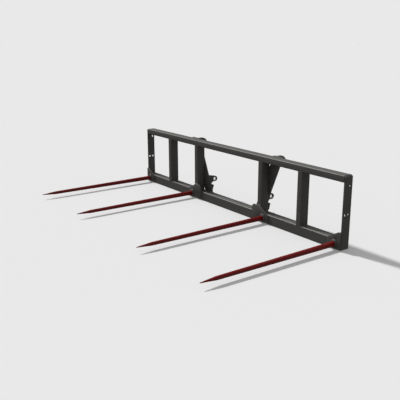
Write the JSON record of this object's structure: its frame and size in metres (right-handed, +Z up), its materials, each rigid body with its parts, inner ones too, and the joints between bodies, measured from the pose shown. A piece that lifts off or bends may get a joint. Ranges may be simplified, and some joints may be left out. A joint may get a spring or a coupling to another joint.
{
  "type": "bale spear frame",
  "caption": "Wide welded tube frame with long pointed tines bolted through its lower rail and a hook-and-ear loader hitch behind",
  "frame": {"origin": "middle of the bottom rail's underside", "axes": "+X along the frame, +Y to the rear towards the loader, +Z up; the tines point along -Y"},
  "size_m": [2.62, 1.3725, 0.546],
  "materials": {
    "frame_paint": "satin charcoal paint over welded steel",
    "tine_paint": "satin red paint over forged steel",
    "fastener_zinc": "zinc-plated"
  },
  "bodies": {
    "root": {"bottom_rail": "frame_paint", "top_rail": "frame_paint", "end_plate_left": "frame_paint", "outer_post_left": "frame_paint", "inner_post_left": "frame_paint", "end_plate_right": "frame_paint", "outer_post_right": "frame_paint", "inner_post_right": "frame_paint", "tine_plate_1": "frame_paint", "tine_sleeve_1": "frame_paint", "tine_1": "tine_paint", "tine_washer_1": "fastener_zinc", "tine_nut_1": "fastener_zinc", "tine_plate_2": "frame_paint", "tine_sleeve_2": "frame_paint", "tine_2": "tine_paint", "tine_washer_2": "fastener_zinc", "tine_nut_2": "fastener_zinc", "tine_plate_3": "frame_paint", "tine_sleeve_3": "frame_paint", "tine_3": "tine_paint", "tine_washer_3": "fastener_zinc", "tine_nut_3": "fastener_zinc", "tine_plate_4": "frame_paint", "tine_sleeve_4": "frame_paint", "tine_4": "tine_paint", "tine_washer_4": "fastener_zinc", "tine_nut_4": "fastener_zinc", "back_strip_left": "frame_paint", "hook_plate_left": "frame_paint", "ear_plate_left": "frame_paint", "foot_pad_left": "frame_paint", "back_strip_right": "frame_paint", "hook_plate_right": "frame_paint", "ear_plate_right": "frame_paint", "foot_pad_right": "frame_paint"}
  },
  "joints": []
}
